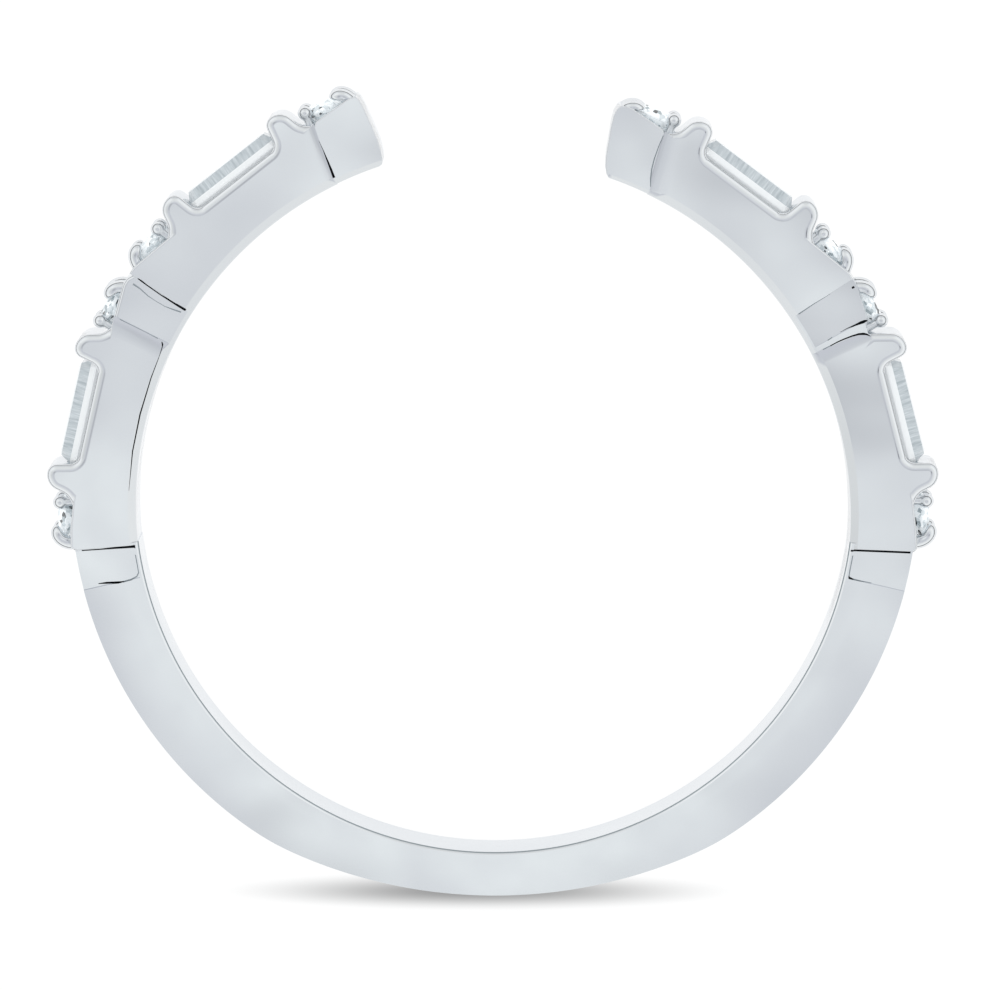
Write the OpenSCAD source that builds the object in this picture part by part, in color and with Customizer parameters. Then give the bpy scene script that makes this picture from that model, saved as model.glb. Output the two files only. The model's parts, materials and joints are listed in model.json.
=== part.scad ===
// Adjustable open ring of white metal, lying on its side.
// The finger hole's axis is Z, the ring rests on z = 0 and the open ends are at +Y.
// Each arm carries two settings alike: round stone, bar, baguette, bar, round stone.
// Angles on an arm are measured from +X towards +Y on the right arm, and mirrored on the left.

/* [Finger hole and shank] */
// Inside diameter of the shank
finger_d = 17.35; // [16.9:0.05:18.2]
// Width of the band along the finger
band_w = 2.0; // [1.9:0.05:2.3]
// Thickness of the shank at the sides, from the finger hole outwards
shank_t = 1.59; // [1.55:0.01:1.62]
// Thickness of the shank at the bottom, where it is worn flatter
base_t = 1.07; // [1.0:0.01:1.15]
// Radius of the flatter curve at the bottom
base_r = 12.0; // [11.5:0.1:12.5]
// How far the outer curve of the shank is raised above the finger hole's centre
shank_lift = 0.27; // [0.22:0.01:0.34]

/* [Arms] */
// Angle between the middles of the right arm's two settings
step_right = 38.6; // [38.4:0.1:39.2]
// Angle between the middles of the left arm's two settings
step_left = 39.2; // [38.4:0.1:39.4]
// Angle of the middle of the lower setting
first_setting = 11.2; // [11:0.1:11.5]
// Angle by which the right arm is bent inwards
bend_right = 3.16; // [2.5:0.01:3.4]
// Angle by which the left arm is bent inwards
bend_left = 1.45; // [1:0.01:2]
// Angle of the place where the right arm is bent
bend_at_right = -8.0; // [-9:0.1:-6]
// Angle of the place where the left arm is bent
bend_at_left = -4.0; // [-8:0.1:-3]
// Depth of the lowered panels on the front and back of the band
panel_depth = 0.10; // [0.06:0.01:0.12]
// Corner radius of the lowered panel at the top of the shank
pad_corner_r = 0.30; // [0.2:0.01:0.4]

/* [Heights above the finger hole] */
// Rim beside the round stones, where it is lowest
rim_low = 1.53; // [1.48:0.01:1.56]
// Rim beside the round stones, where it is highest
rim_high = 1.79; // [1.74:0.01:1.82]
// Bottom of the notch in front of a baguette
notch_floor = 1.40; // [1.36:0.005:1.42]
// Top of the bars across the band
bar_top = 2.185; // [2.15:0.005:2.25]
// Top of the small round prongs
bead_top = 2.035; // [2:0.005:2.08]
// Top of the claws
claw_top = 2.125; // [2.1:0.005:2.16]

/* [Stones] */
// Diameter of a round stone
round_d = 1.15; // [1.1:0.01:1.18]
// Table of a round stone above the finger hole
round_table = 1.935; // [1.92:0.005:1.95]
// Length of a baguette
baguette_l = 2.66; // [2.6:0.01:2.68]
// Width of a baguette
baguette_w = 1.30; // [1.2:0.01:1.32]
// Table of a baguette above the finger hole
baguette_table = 1.875; // [1.86:0.005:1.89]
// Play between a stone and its seat
seat_gap = 0.03; // [0.02:0.005:0.04]

/* [Hidden] */
$fn = 96;

finger_r = finger_d / 2;
mid_z = band_w / 2;
// Reach of a cutting shape that has to run out past the ring
far = 2 * finger_r;
cut = 1;

// Middles of the two settings on each arm
MIDDLES_RIGHT = [first_setting, first_setting + step_right];
MIDDLES_LEFT = [first_setting, first_setting + step_left];

// Angles inside one setting, from its middle outwards
round_at = 14.7;
panel_at = 13.0;
claw_foot_at = 18.2;
setting_half = 19.5;

// Where the shank meets an arm, and where the lowered panel beside it starts and how far it stays above the hole
shank_end = first_setting - setting_half;
pad_start = shank_end - 4.9;
pad_foot = 0.125;

// Outer edge of half a setting: angle from its middle, height above the finger hole
HALF_SETTING = [
    [6.4, notch_floor + 0.06],
    [7.0, notch_floor + 0.16],
    [7.2, bar_top - 0.24],
    [7.5, bar_top - 0.09],
    [8.1, bar_top],
    [9.6, bar_top],
    [10.2, bar_top - 0.08],
    [11.3, rim_low + 0.10],
    [12.1, rim_low],
    [claw_foot_at, rim_high],
    [setting_half, rim_high]
];

// Rounded end of an arm: angle from the arm's end, height above the finger hole
ARM_TIP = [
    [-0.6, rim_high],
    [0.2, 1.65],
    [0.7, 1.25],
    [0.5, 0.70],
    [0.0, 0.30],
    [-0.7, 0.05],
    [-1.2, -0.5]
];

// Claw seen from the side: distance outwards from the stone's axis, height above the finger hole
CLAW = [
    [0.78, rim_high - 0.20],
    [0.76, rim_high + 0.02],
    [0.62, claw_top - 0.11],
    [0.50, claw_top - 0.01],
    [0.38, claw_top],
    [0.28, claw_top - 0.06],
    [0.27, claw_top - 0.14],
    [0.40, rim_high - 0.20]
];
claw_w = 0.40;

// Small round prongs, and how far each prong stands from the stone's axis along and across the band
bead_r = 0.17;
bead_h = 0.55;
bead_out = 0.42;
prong_side = 0.50;

// Steps of a baguette: height from its girdle, and how far the step draws in along and across the stone
crown_h = 0.30;
girdle_h = 0.04;
pavilion_h = 0.55;
BAGUETTE_STEPS = [
    [-pavilion_h, 0.62, 0.50],
    [-0.30, 0.30, 0.24],
    [-girdle_h, 0.00, 0.00],
    [0.00, 0.00, 0.00],
    [0.18, 0.10, 0.10],
    [crown_h, 0.21, 0.23]
];

// Steps of a round stone, and how far its star and lower facets reach between the table or point and the girdle
round_crown_h = 0.17;
round_girdle_h = 0.03;
round_pavilion_h = 0.50;
round_table_d = 0.56 * round_d;
star_reach = 0.45;
lower_reach = 0.30;

function polar(angle, radius) = [radius * cos(angle), radius * sin(angle)];
function on_arm(point, shift = 0, side = 1) = polar(shift + side * point[0], finger_r + point[1]);
function backwards(list) = [for (i = [len(list) - 1 : -1 : 0]) list[i]];

// Closed sector of the plane between two angles, out to well past the ring
module sector(from, to, steps = 6) {
    polygon(concat([[0, 0]], [for (i = [0 : steps]) polar(from + (to - from) * i / steps, far)]));
}

// Places an arm's pieces: bent about a point on the finger hole's edge, then mirrored for the left arm
module bend(angle, place) {
    pivot = polar(place, finger_r);
    translate(pivot) rotate([0, 0, angle]) translate(-pivot) children();
}

module right_arm() {
    bend(bend_right, bend_at_right) children();
}

module left_arm() {
    mirror([1, 0, 0]) bend(bend_left, bend_at_left) children();
}

// Outline of the shank from one arm to the other, through the bottom
module shank_outline() {
    overlap = 1.2;
    difference() {
        intersection() {
            translate([0, shank_lift]) circle(r = finger_r + shank_t);
            translate([0, base_r - finger_r - base_t]) circle(r = base_r);
            sector(180 - shank_end - overlap, 360 + shank_end + overlap, 12);
        }
        circle(r = finger_r);
    }
}

// Outline of an arm: the outer edge of its two settings, its rounded end and the finger hole's curve
module arm_outline(middles) {
    lower = [for (p = backwards(HALF_SETTING)) on_arm(p, middles[0], -1)];
    lower_far = [for (i = [0 : len(HALF_SETTING) - 2]) on_arm(HALF_SETTING[i], middles[0])];
    upper = [for (p = backwards(HALF_SETTING)) on_arm(p, middles[1], -1)];
    upper_far = [for (i = [0 : len(HALF_SETTING) - 2]) on_arm(HALF_SETTING[i], middles[1])];
    tip = [for (p = ARM_TIP) on_arm(p, middles[1] + setting_half)];
    difference() {
        polygon(concat(lower, lower_far, upper, upper_far, tip, [[0, 0]]));
        circle(r = finger_r);
    }
}

// Lowered panel at the top of the shank, with a rounded lower corner on the finger side
module pad_panel() {
    foot = finger_r + pad_foot;
    corner = asin(pad_corner_r / (foot + pad_corner_r));
    difference() {
        sector(pad_start, shank_end);
        circle(r = foot + pad_corner_r);
    }
    difference() {
        sector(pad_start + corner, shank_end);
        circle(r = foot);
    }
    translate(polar(pad_start + corner, foot + pad_corner_r)) circle(r = pad_corner_r, $fn = 32);
}

// Panels on an arm that lie lower than the rest of its face: under the second and the fourth round stone
module arm_panels(middles) {
    past_tip = 4;
    difference() {
        union() {
            sector(middles[0] + panel_at, middles[0] + setting_half);
            sector(middles[1] + panel_at, middles[1] + setting_half + past_tip);
        }
        circle(r = finger_r - cut);
    }
}

// Cuts the same shape from the front and the back of the band
module on_both_faces() {
    translate([0, 0, band_w - panel_depth]) linear_extrude(cut) children();
    translate([0, 0, panel_depth - cut]) linear_extrude(cut) children();
}

// Puts a piece drawn at the origin, with its top towards +Z and its length along X, on an arm's outer edge
module on_edge(angle, height) {
    rotate([0, 0, angle]) translate([finger_r + height, 0, mid_z]) rotate([90, 0, 90]) children();
}

// Stone with steps parallel to its girdle, grown by the play when it cuts its own seat
module baguette_form(play = 0) {
    side = [for (s = BAGUETTE_STEPS) [baguette_l / 2 - s[1] + play, s[0] + (s[0] > 0 ? play : -play)]];
    end = [for (s = BAGUETTE_STEPS) [baguette_w / 2 - s[2] + play, s[0] + (s[0] > 0 ? play : -play)]];
    intersection() {
        rotate([90, 0, 0]) linear_extrude(2 * baguette_w, center = true)
            polygon(concat(side, [for (p = backwards(side)) [-p[0], p[1]]]));
        rotate([90, 0, 90]) linear_extrude(2 * baguette_l, center = true)
            polygon(concat(end, [for (p = backwards(end)) [-p[0], p[1]]]));
    }
}

// Round stone with an eight-sided table, thirty-two crown facets and twenty-four below the girdle
module round_form() {
    r = round_d / 2;
    table_r = round_table_d / 2;
    star_x = table_r + (r - table_r) * star_reach;
    lower_x = r * lower_reach;
    star = [star_x / cos(22.5), round_crown_h * (r - star_x) / (r - table_r)];
    lower = [lower_x / cos(22.5), -round_girdle_h - round_pavilion_h * (1 - lower_reach)];
    table = [for (i = [0 : 7]) concat(polar(45 * i, table_r), [round_crown_h])];
    stars = [for (i = [0 : 7]) concat(polar(45 * i + 22.5, star[0]), [star[1]])];
    girdle_up = [for (i = [0 : 15]) concat(polar(22.5 * i, r), [0])];
    girdle_low = [for (i = [0 : 15]) concat(polar(22.5 * i, r), [-round_girdle_h])];
    lowers = [for (i = [0 : 7]) concat(polar(45 * i + 22.5, lower[0]), [lower[1]])];
    culet = [[0, 0, -round_girdle_h - round_pavilion_h]];
    // First point of each ring in the list below
    t = 0;
    s = t + len(table);
    u = s + len(stars);
    g = u + len(girdle_up);
    l = g + len(girdle_low);
    c = l + len(lowers);
    polyhedron(
        points = concat(table, stars, girdle_up, girdle_low, lowers, culet),
        faces = concat(
            [[for (i = [0 : 7]) t + 7 - i]],
            [for (i = [0 : 7]) [t + i, t + (i + 1) % 8, s + i]],
            [for (i = [0 : 7]) [t + i, s + i, u + 2 * i, s + (i + 7) % 8]],
            [for (i = [0 : 7]) [s + i, u + 2 * i + 1, u + 2 * i]],
            [for (i = [0 : 7]) [s + i, u + (2 * i + 2) % 16, u + 2 * i + 1]],
            [for (i = [0 : 15]) [u + i, u + (i + 1) % 16, g + (i + 1) % 16, g + i]],
            [for (i = [0 : 7]) [l + i, g + 2 * i, g + 2 * i + 1]],
            [for (i = [0 : 7]) [l + i, g + 2 * i + 1, g + (2 * i + 2) % 16]],
            [for (i = [0 : 7]) [c, l + (i + 7) % 8, g + 2 * i, l + i]]
        )
    );
}

// Round seat for a round stone, as a cutter turns it
module round_seat() {
    r = round_d / 2 + seat_gap;
    rotate_extrude() polygon([
        [0, -round_girdle_h - round_pavilion_h - seat_gap],
        [r, -round_girdle_h - seat_gap / 2],
        [r, seat_gap / 2],
        [round_table_d / 2 + seat_gap, round_crown_h + seat_gap],
        [0, round_crown_h + seat_gap]
    ]);
}

// Small upright prong with a round top, standing towards +X
module bead_prong() {
    rotate([0, 90, 0]) rotate_extrude($fn = 48) intersection() {
        union() {
            circle(r = bead_r, $fn = 48);
            translate([-bead_r, -bead_h]) square([2 * bead_r, bead_h]);
        }
        translate([0, -bead_h]) square([bead_r, bead_h + bead_r]);
    }
}

// Two claws on the outer side of a round stone and two small round prongs on the side of the bar
module prongs(angle, side) {
    for (z = [-prong_side, prong_side]) {
        translate([0, 0, mid_z + z]) {
            rotate([0, 0, angle]) translate([finger_r, 0, -claw_w / 2]) linear_extrude(claw_w)
                polygon([for (p = CLAW) [p[1], side * p[0]]]);
            rotate([0, 0, angle]) translate([finger_r + bead_top - bead_r, -side * bead_out, 0]) bead_prong();
        }
    }
}

// Everything that stands on one arm, and the seats cut for its stones
module arm_prongs(middles) {
    for (middle = middles) {
        prongs(middle - round_at, -1);
        prongs(middle + round_at, 1);
    }
}

module arm_seats(middles) {
    for (middle = middles) {
        on_edge(middle, baguette_table - crown_h) baguette_form(seat_gap);
        for (side = [-1, 1]) {
            on_edge(middle + side * round_at, round_table - round_crown_h) round_seat();
        }
    }
}

// Shank, arms, bars and prongs, cast in one piece
module band() color("gainsboro") difference() {
    union() {
        linear_extrude(band_w) {
            shank_outline();
            right_arm() arm_outline(MIDDLES_RIGHT);
            left_arm() arm_outline(MIDDLES_LEFT);
        }
        right_arm() arm_prongs(MIDDLES_RIGHT);
        left_arm() arm_prongs(MIDDLES_LEFT);
    }
    on_both_faces() {
        pad_panel();
        mirror([1, 0]) pad_panel();
        right_arm() arm_panels(MIDDLES_RIGHT);
        left_arm() arm_panels(MIDDLES_LEFT);
    }
    right_arm() arm_seats(MIDDLES_RIGHT);
    left_arm() arm_seats(MIDDLES_LEFT);
}

module baguette(middle) {
    color("lightcyan") on_edge(middle, baguette_table - crown_h) baguette_form();
}

// Round stones are numbered from the shank to the open end, two to each setting
module round_stone(number, middles) {
    middle = middles[number > 2 ? 1 : 0];
    side = number % 2 == 1 ? -1 : 1;
    color("azure") on_edge(middle + side * round_at, round_table - round_crown_h) round_form();
}

band();
right_arm() baguette(MIDDLES_RIGHT[0]);  // baguette_right_low
right_arm() baguette(MIDDLES_RIGHT[1]);  // baguette_right_high
left_arm() baguette(MIDDLES_LEFT[0]);  // baguette_left_low
left_arm() baguette(MIDDLES_LEFT[1]);  // baguette_left_high
for (i = [1 : 4]) {
    right_arm() round_stone(i, MIDDLES_RIGHT);
    left_arm() round_stone(i, MIDDLES_LEFT);
}
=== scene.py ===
"""Adjustable open ring in polished white gold, set with step-cut and round diamonds, lying on a pale floor.

Pieces are drawn in millimetres in the ring's own frame: the finger hole's axis is Z, the ring lies on z = 0,
its open ends are at +Y. Each piece is scaled to metres when it is finished.
"""

import json
import math

import bpy
from mathutils import Matrix, Vector

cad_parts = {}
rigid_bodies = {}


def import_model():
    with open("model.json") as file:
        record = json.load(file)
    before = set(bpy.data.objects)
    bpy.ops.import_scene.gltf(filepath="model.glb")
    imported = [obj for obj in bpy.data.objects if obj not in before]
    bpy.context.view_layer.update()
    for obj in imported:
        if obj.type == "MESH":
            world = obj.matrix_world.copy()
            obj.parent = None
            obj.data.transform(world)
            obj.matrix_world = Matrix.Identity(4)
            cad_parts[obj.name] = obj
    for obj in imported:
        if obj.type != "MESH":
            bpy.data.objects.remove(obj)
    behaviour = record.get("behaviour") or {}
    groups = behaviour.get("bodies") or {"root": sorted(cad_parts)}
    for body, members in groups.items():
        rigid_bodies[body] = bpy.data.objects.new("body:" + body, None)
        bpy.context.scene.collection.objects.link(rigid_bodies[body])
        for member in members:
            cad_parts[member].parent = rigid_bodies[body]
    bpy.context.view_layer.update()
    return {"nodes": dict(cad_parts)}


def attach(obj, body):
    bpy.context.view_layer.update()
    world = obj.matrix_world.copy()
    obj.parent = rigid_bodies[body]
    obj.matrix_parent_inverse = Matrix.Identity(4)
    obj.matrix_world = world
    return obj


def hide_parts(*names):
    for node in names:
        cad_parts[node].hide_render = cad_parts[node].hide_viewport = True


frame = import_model()

MM = 0.001
TO_METRES = Matrix.Diagonal((MM, MM, MM, 1))
SIDES = ("right", "left")

# Finger hole and band
FINGER_R = 8.675
BAND_W = 2.0
MID_Z = BAND_W / 2

# Shank: outer curve, raised above the finger hole's centre, and the flatter curve at the bottom
SHANK_R = 10.265
SHANK_LIFT = 0.27
BASE_R = 12.0
BASE_SHIFT = BASE_R - FINGER_R - 1.07
BASE_BLEND = 0.02

# Arms: angles in degrees from +X towards +Y on the right arm, mirrored on the left
SETTING_HALF = 19.5
FIRST_SETTING = 11.2
STEP = {"right": 38.6, "left": 39.2}
BEND = {"right": 3.16, "left": 1.45}
BEND_AT = {"right": -8.0, "left": -4.0}
ARM_START = FIRST_SETTING - SETTING_HALF

# How far the panel between an arm's settings lies below its face, and how much further at the
# panel's outer edge
PANEL_DEPTH = 0.10
PANEL_LEAN = {"right": 0.050, "left": 0.0}

# Pocket in the shank's face below each arm: angle where it starts, width of the metal left beside
# the finger hole
PAD_START = ARM_START - 4.6
PAD_FOOT = 0.125

# Where each setting's face starts: the angle from its middle at the finger hole, then the outer
# edge from there on. Where it ends: points from the finger hole outwards. Each point is an angle
# from the middle and a height above the finger hole
FACE_START = {
    "right": [
        (-19.50, [(-19.05, 1.58), (-18.60, 1.65), (-15.90, 1.60)]),
        (-19.25, [(-19.40, 1.79), (-18.20, 1.79)]),
    ],
    "left": [
        (-18.98, [(-18.72, 1.55), (-18.30, 1.64), (-15.60, 1.605)]),
        (-19.30, [(-19.15, 1.79), (-18.20, 1.79)]),
    ],
}
FACE_END = {
    "right": [
        [(12.75, 0.35), (12.70, 0.70), (12.52, 1.07), (12.25, 1.29), (11.60, 1.51)],
        [(11.47, 0.20), (12.10, 0.42), (12.49, 0.60), (12.78, 0.86), (12.93, 1.17), (13.0, 1.568)],
    ],
    "left": [
        [(14.02, 0.40), (14.05, 1.613)],
        [(12.30, 0.20), (12.50, 0.70), (12.65, 1.00), (13.0, 1.568)],
    ],
}
# How softly each face curves down to its end: angles of a line at the finger hole and at the outer
# edge, then distance from that line and depth below the face
SOFT_END = {
    "right": [
        (
            12.75,
            12.2,
            [(0.30, 0.0), (0.24, 0.0015), (0.18, 0.004), (0.12, 0.0075), (0.06, 0.012), (0.0, 0.017)],
        ),
        (
            11.5,
            13.2,
            [
                (0.60, 0.0), (0.48, 0.0015), (0.36, 0.005), (0.24, 0.0105), (0.12, 0.0185),
                (0.04, 0.025), (0.0, 0.029),
            ],
        ),
    ],
    "left": [
        (
            14.0,
            14.05,
            [(0.45, 0.0), (0.36, 0.001), (0.27, 0.003), (0.18, 0.0065), (0.09, 0.0125), (0.0, 0.022)],
        ),
        (
            12.3,
            13.0,
            [(0.24, 0.0), (0.16, 0.002), (0.10, 0.005), (0.05, 0.009), (0.0, 0.014)],
        ),
    ],
}
# The heights at which the two ends of such a line are
SOFT_END_HEIGHTS = (-0.1, 1.7)

# The ledge below the end of the right lower setting's face: angle from the setting's middle, height
LEDGE = [(11.5, 0.05), (10.5, 1.42), (13.65, 1.50), (13.5, 0.05)]
LEDGE_DEPTH = 0.045
# The thin strip beside a panel: angle from the setting's middle where it starts, width, depth below
# the face
RAIL_START = 11.8
RAIL_W = 0.16
RAIL_DEPTH = 0.03
# How far below the arm's face the block at its open end lies
BLOCK_DEPTH = {"right": 0.032, "left": 0.018}

# Creases where the soldered pieces meet: real grooves, coloured nearly black as painted shade. Each is
# a line of angle, height above the finger hole and width. The angles are from the middle of the arm's
# lower setting, 0, or its upper one, 1
CREASES = {
    ("right", 0): [
        [(-19.66, 0.05, 0.045), (-19.18, 1.50, 0.060)],
        [
            (12.66, 0.50, 0.022), (12.69, 0.70, 0.026), (12.64, 0.86, 0.030), (12.52, 1.07, 0.034),
            (12.33, 1.24, 0.045), (12.06, 1.35, 0.056), (11.81, 1.41, 0.040), (11.37, 1.47, 0.012),
        ],
        [
            (13.74, 0.86, 0.008), (13.75, 1.04, 0.016), (13.64, 1.28, 0.036),
            (13.58, 1.41, 0.060), (13.50, 1.50, 0.066), (13.40, 1.58, 0.030),
        ],
        [(18.25, 1.64, 0.050), (18.20, 1.71, 0.050)],
    ],
    ("left", 0): [
        [(-19.10, 0.08, 0.080), (-19.06, 0.5, 0.045), (-18.86, 1.38, 0.035)],
        [
            (19.92, 0.17, 0.070), (19.88, 0.35, 0.066), (19.84, 0.61, 0.045), (19.80, 0.86, 0.026),
            (19.87, 1.13, 0.026), (20.03, 1.44, 0.050), (20.05, 1.56, 0.030),
        ],
        [
            (-10.2, 0.18, 0.008), (-4.0, 0.18, 0.028), (2.0, 0.18, 0.034), (8.0, 0.19, 0.024),
            (11.7, 0.205, 0.012), (13.2, 0.235, 0.022), (13.5, 0.255, 0.040), (13.8, 0.30, 0.020),
        ],
    ],
    ("left", 1): [
        [
            (12.28, 0.18, 0.062), (12.42, 0.40, 0.054), (12.52, 0.65, 0.036), (12.62, 0.90, 0.016),
            (12.64, 1.15, 0.006),
        ],
    ],
}
# The same for the pockets, but with the angle from +X
PAD_CREASES = {
    "right": [[(-12.55, 0.125, 0.03), (-12.78, 0.15, 0.05), (-12.86, 0.26, 0.02)]],
    "left": [[(-12.45, 1.15, 0.016), (-12.6, 0.95, 0.050), (-12.9, 0.66, 0.045), (-12.95, 0.52, 0.014)]],
}
# Soft grey lines in the pockets, painted shade like the shallow lines below, with the angle from +X
SOFT_PAD_CREASES = {
    "right": [
        [(-9.2, 0.125, 0.03), (-12.0, 0.125, 0.03), (-12.6, 0.135, 0.03)],
        [(-12.84, 0.20, 0.03), (-12.86, 0.40, 0.02), (-12.80, 0.70, 0.012)],
    ],
    "left": [
        [
            (-12.95, 0.55, 0.03), (-12.9, 0.35, 0.03), (-12.65, 0.20, 0.03), (-12.1, 0.13, 0.03),
            (-11.0, 0.125, 0.03), (-9.2, 0.125, 0.03),
        ]
    ],
}
CREASE_DEPTH = 0.15
SOFT_PAD_CREASE_DEPTH = PANEL_DEPTH + 0.015
# Shallow lines, coloured soft grey as painted shade, each with its depth below the arm's face
SOFT_CREASES = {
    ("right", 0): [
        (0.115, [(13.55, 0.50, 0.016), (13.68, 0.70, 0.020), (13.74, 0.90, 0.016)]),
        (0.03, [(12.74, 0.30, 0.045), (12.70, 0.50, 0.030)]),
        (0.13, [(19.32, 0.22, 0.036), (19.34, 0.66, 0.030), (19.24, 1.10, 0.020), (19.24, 1.50, 0.020)]),
    ],
    ("right", 1): [
        (
            0.08,
            [
                (11.50, 0.20, 0.016), (12.05, 0.38, 0.028), (12.49, 0.60, 0.030),
                (12.78, 0.86, 0.026), (12.93, 1.17, 0.020), (12.97, 1.45, 0.016),
            ],
        ),
    ],
    ("left", 0): [
        (0.045, [(14.04, 0.42, 0.036), (14.08, 0.75, 0.032), (14.06, 1.10, 0.028), (14.04, 1.45, 0.030)]),
        (
            0.112,
            [
                (19.24, 0.24, 0.034), (18.92, 0.45, 0.030), (18.68, 0.66, 0.014), (18.67, 0.92, 0.014),
                (18.72, 1.12, 0.022), (19.01, 1.38, 0.028), (19.05, 1.58, 0.045),
            ],
        ),
    ],
}

# Curves of the face beside the finger hole and beside the shank's outer edge: distance, depth below
# the face
ARM_INNER_EDGE = [(0.205, 0.0), (0.015, 0.062), (0.0, 0.085)]
SHANK_INNER_EDGE = [(0.075, 0.0), (0.028, 0.022), (0.0, 0.045)]
SHANK_CROWN = [(1.15 * (1 - i / 12), 0.020 * (i / 12) ** 2 - 0.0002) for i in range(13)]
SHANK_DROP = 0.004  # how far the shank's faces lie below the arms'

# How widely rims are rounded: each step is a height above the finger hole and the width beyond it
SHANK_RIM = [(0.5, 0.03)]
BAR_RIM = [(0.9, 0.20)]
SETTING_RIM = [(1.45, 0.05), (0.1, 0.02)]
PANEL_RIM = [(1.3, 0.09)]
BLOCK_RIM = [(0.0, 0.03)]
BAR_RIM_SHAPE = 0.5  # how deep a bar's rim is for its width

# Working sizes. Metal left inside the finger hole until it is cut, how far pieces run on inside one
# another in degrees, how far cutters run on past a face, and how far outside its curve a cutter
# starts
SPARE = 0.06
OVERLAP = 1.2
RUN_OUT = 0.1
LEAD_IN = 0.03
# A cutter's face belongs to the last step of its curve if its middle is this near to that step's
NEAR = 0.004
# Straight steps round the finger hole, along the shank, round a seat and a bead, and how long an
# arc's steps are in degrees
HOLE_STEPS = 240
SHANK_STEPS = 150
SEAT_STEPS = 48
BEAD_STEPS = 24
ARC_STEP = 1.5
# The place that a piece's points are put in order from, away from the planes that halve the pieces
SORT_FROM = (13.1, -7.3, -5.7)
# Points nearer to each other than this are merged after a cut
MERGE = 0.0006
# Edges sharper than this are left crisp. A flat face also ends crisply where the next one turns by
# more than this
CRISP_TURN = math.radians(32)
BEVEL_TURN = math.cos(math.radians(15))

# Outer edge of half a setting: angle from its middle, height above the finger hole, radius of that
# corner
HALF_SETTING = [
    (6.86, 1.46, 0.18),
    (7.30, 2.185, 0.22),
    (9.95, 2.185, 0.24),
]
# The foot of the outer bar: with a soft hollow corner, or without where a lowered panel starts
SOFT_FOOT = [(11.42, 1.575, 0.22), (12.90, 1.545, 0.0)]
PLAIN_FOOT = [(11.60, 1.52, 0.0)]
# The bars' outline is closed inside the setting: how far in from the feet, and at what height
BARS_INSIDE = (0.9, 0.7)
# Outer edge of the setting under half of its bars, from the foot of the outer bar inwards
RIM_LOW = (12.1, 1.53)
UNDER_BARS = [RIM_LOW, (11.0, RIM_LOW[1] - 0.03), (9.5, 1.1)]
# Outer edge of the panels and the end blocks, from inside the bar on. Their second points differ
RIM_HIGH = (18.2, 1.79)
PANEL_EDGE = [(10.8, 1.35), (12.2, 1.42), (13.4, 1.585), RIM_HIGH]
BLOCK_EDGE = [(10.8, 1.35), (12.4, 1.42), (13.4, 1.585), RIM_HIGH]

# Rounded end of each arm: angle from the arm's end, height above the finger hole
ARM_TIP = {
    "right": [
        (-0.6, 1.79), (0.25, 1.755), (0.58, 1.67), (0.78, 1.50), (0.68, 1.20), (0.40, 0.86),
        (0.10, 0.50), (-0.33, 0.24), (-0.85, 0.09),
    ],
    "left": [
        (-0.6, 1.81), (0.05, 1.80), (0.36, 1.70), (0.58, 1.50), (0.76, 1.20), (0.98, 0.86),
        (1.10, 0.60), (1.04, 0.35), (0.86, 0.15), (0.55, 0.05),
    ],
}

# Stones: how many degrees the round ones stand from a setting's middle, then their sizes and how high
# their tables are above the finger hole
ROUND_AT = 14.7
ROUND_R = 0.575
ROUND_TABLE = 1.935
ROUND_TABLE_R = 0.56 * ROUND_R
ROUND_CROWN = 0.17
ROUND_GIRDLE = 0.03
ROUND_PAVILION = 0.50
BAGUETTE_L = 2.66
BAGUETTE_W = 1.30
BAGUETTE_TABLE = 1.875
BAGUETTE_CROWN = 0.385
BAGUETTE_GIRDLE = 0.04
BAGUETTE_CORNER = 0.16
# Steps of the baguettes, from the girdle: how high, and how far the step draws in
CROWN_STEPS = [(0.115, 0.04), (0.24, 0.14), (0.03, 0.05)]
PAVILION_STEPS = [(0.18, 0.16), (0.17, 0.18), (0.13, 0.18)]
SEAT_GAP = 0.03

# Claws. Seen from the side: distance from the stone's axis along the arm, height above the finger hole
CLAW_TOP = 2.09
CLAW = [
    (0.74, 1.48), (0.76, 1.68), (0.69, 1.88), (0.57, 2.03), (0.41, CLAW_TOP + 0.03),
    (0.25, CLAW_TOP + 0.03), (0.12, CLAW_TOP - 0.05), (0.12, 1.92), (0.28, 1.84), (0.42, 1.74),
    (0.46, 1.48),
]
# How wide it is, and how wide before its two sides are built up in layers: each is a share of what
# is left, and how much smaller it ends
CLAW_W = 0.40
CLAW_CORE = 0.3 * CLAW_W
CLAW_LAYERS = ((0.6, 0.82), (0.4, 0.5))
# The claws at each arm's open end: how much further from the stone's axis they stand, and how much
# lower
END_CLAW = {"right": (0.20, 0.15), "left": (0.14, 0.02)}

# Small round prongs: the ball, the foot and the neck of its stem below the ball's middle, and where
# they stand
BEAD_R = 0.178
BEAD_STEM_R = 0.105
BEAD_FOOT = -0.55
BEAD_NECK = -0.17
BEAD_TOP = 2.035
BEAD_OUT = 0.42
PRONG_SIDE = 0.50

# Slots of the metal's materials: polished metal, the nearly black painted crease shade and the soft
# grey painted shade
POLISHED, PAINTED_CREASE_SHADE, PAINTED_SOFT_SHADE = range(3)


def polar(angle, radius):
    """A place by its angle from +X and its distance from the finger hole's axis."""
    return Vector((radius * math.cos(math.radians(angle)), radius * math.sin(math.radians(angle)), 0.0))


def on_arm(angle, height):
    """A place on an arm before it is bent, by its angle and its height above the finger hole."""
    return polar(angle, FINGER_R + height)


def deselect():
    for obj in bpy.context.view_layer.objects:
        obj.select_set(False)


def pick(obj):
    """Selects one piece and makes it the active one."""
    deselect()
    obj.select_set(True)
    bpy.context.view_layer.objects.active = obj


def edit(obj):
    """Opens a piece for editing with all of it selected."""
    pick(obj)
    bpy.context.tool_settings.mesh_select_mode = (True, False, False)
    bpy.ops.object.mode_set(mode="EDIT")
    bpy.ops.mesh.select_all(action="SELECT")


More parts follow.
